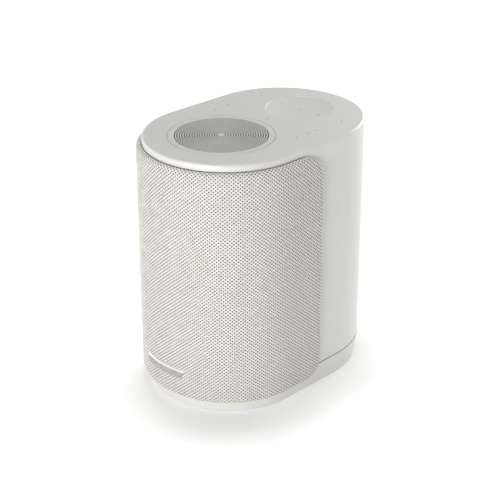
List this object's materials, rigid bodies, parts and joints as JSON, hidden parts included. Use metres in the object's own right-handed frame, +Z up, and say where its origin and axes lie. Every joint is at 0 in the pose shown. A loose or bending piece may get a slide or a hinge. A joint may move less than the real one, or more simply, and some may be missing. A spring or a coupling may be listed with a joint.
{
  "type": "smart speaker",
  "caption": "Upright oval smart speaker with a cloth covered front grille, a ring grille over an upward driver and a round touch dish on top.",
  "frame": {"origin": "middle of the rubber foot's underside, midway between the centres of the two half circles of the plan outline", "axes": "+Z up, the cloth front faces -Y, +X is to the right of someone who stands in front of the cloth and looks at it along +Y (right-handed)"},
  "size_m": [0.135, 0.1889, 0.2],
  "materials": {
    "housing_plastic": "fine matte moulded, warm white",
    "grille_rings": "fine matte moulded, warm white",
    "grille_weave": "plain weave, warm off-white",
    "frame_plastic": "moulded, dark",
    "badge_metal": "satin, no lettering",
    "foot_rubber": "matte",
    "seal_rubber": "matte",
    "mesh_cloth": "fine woven",
    "cabinet_plastic": "moulded, black",
    "basket_plastic": "glass filled, black",
    "motor_steel": "zinc plated",
    "ferrite": "sintered, dark grey",
    "coil_copper": "enamelled copper wire",
    "cone_paper": "pressed pulp, dark",
    "surround_rubber": "matte",
    "spider_cloth": "resin dipped cotton",
    "dome_silk": "coated, dark",
    "screw_steel": "black zinc",
    "board_laminate": "solder mask, green",
    "chip_plastic": "moulded epoxy",
    "shield_tin": "tin plated",
    "sink_aluminium": "extruded",
    "clear_plastic": "clear, frosted",
    "film_plastic": "polyimide film",
    "socket_plastic": "moulded, black",
    "pin_brass": "plated"
  },
  "bodies": {
    "housing": {"badge_plate": "badge_metal", "baffle_gasket": "seal_rubber", "baffle_screws": "screw_steel", "base_cover": "housing_plastic", "base_screws": "screw_steel", "board_components": "chip_plastic", "board_screws": "screw_steel", "cabinet": "cabinet_plastic", "control_board": "board_laminate", "control_ribbon": "film_plastic", "driver_screws": "screw_steel", "dust_mesh": "mesh_cloth", "front_baffle": "cabinet_plastic", "grille_cloth": "grille_weave", "grille_frame": "frame_plastic", "grille_grommets": "seal_rubber", "heat_sink": "sink_aluminium", "hood": "housing_plastic", "io_board": "board_laminate", "lead_gland": "seal_rubber", "light_guide": "clear_plastic", "link_switch": "socket_plastic", "main_board": "board_laminate", "microphone_boots": "seal_rubber", "microphones": "shield_tin", "power_pin": "pin_brass", "power_socket": "socket_plastic", "radio_shield": "shield_tin", "rubber_foot": "foot_rubber", "top_grille": "grille_rings", "touch_film": "film_plastic", "touch_foam": "seal_rubber", "tweeter_faceplate": "basket_plastic", "tweeter_magnet": "ferrite", "tweeter_surround": "surround_rubber", "tweeter_top_plate": "motor_steel", "tweeter_yoke": "motor_steel", "upfire_basket": "basket_plastic", "upfire_chamber": "cabinet_plastic", "upfire_magnet": "ferrite", "upfire_spider": "spider_cloth", "upfire_surround": "surround_rubber", "upfire_top_plate": "motor_steel", "upfire_yoke": "motor_steel", "woofer_basket": "basket_plastic", "woofer_magnet": "ferrite", "woofer_spider": "spider_cloth", "woofer_surround": "surround_rubber", "woofer_top_plate": "motor_steel", "woofer_yoke": "motor_steel"},
    "woofer_diaphragm": {"woofer_cone": "cone_paper", "woofer_dust_cap": "cone_paper", "woofer_voice_coil": "coil_copper"},
    "upfire_diaphragm": {"upfire_cone": "cone_paper", "upfire_dust_cap": "cone_paper", "upfire_voice_coil": "coil_copper"},
    "tweeter_diaphragm": {"tweeter_dome": "dome_silk", "tweeter_voice_coil": "coil_copper"},
    "button": {"link_button": "housing_plastic", "switch_plunger": "socket_plastic"}
  },
  "joints": [
    {"name": "woofer_travel", "type": "slide", "parent": "housing", "child": "woofer_diaphragm", "axis": [0, -1, 0], "range_m": [-0.003, 0.003], "stiffness_N_per_m": 1200, "deforming": ["woofer_surround", "woofer_spider"]},
    {"name": "upfire_travel", "type": "slide", "parent": "housing", "child": "upfire_diaphragm", "axis": [0, 0, 1], "range_m": [-0.002, 0.002], "stiffness_N_per_m": 1500, "deforming": ["upfire_surround", "upfire_spider"]},
    {"name": "tweeter_travel", "type": "slide", "parent": "housing", "child": "tweeter_diaphragm", "axis": [0, -1, 0], "range_m": [-0.0003, 0.0003], "stiffness_N_per_m": 3000, "deforming": ["tweeter_surround"]},
    {"name": "link_button_press", "type": "slide", "parent": "housing", "child": "button", "axis": [0, -1, 0], "range_m": [0, 0.0006], "stiffness_N_per_m": 800, "springref_m": -0.0005}
  ]
}
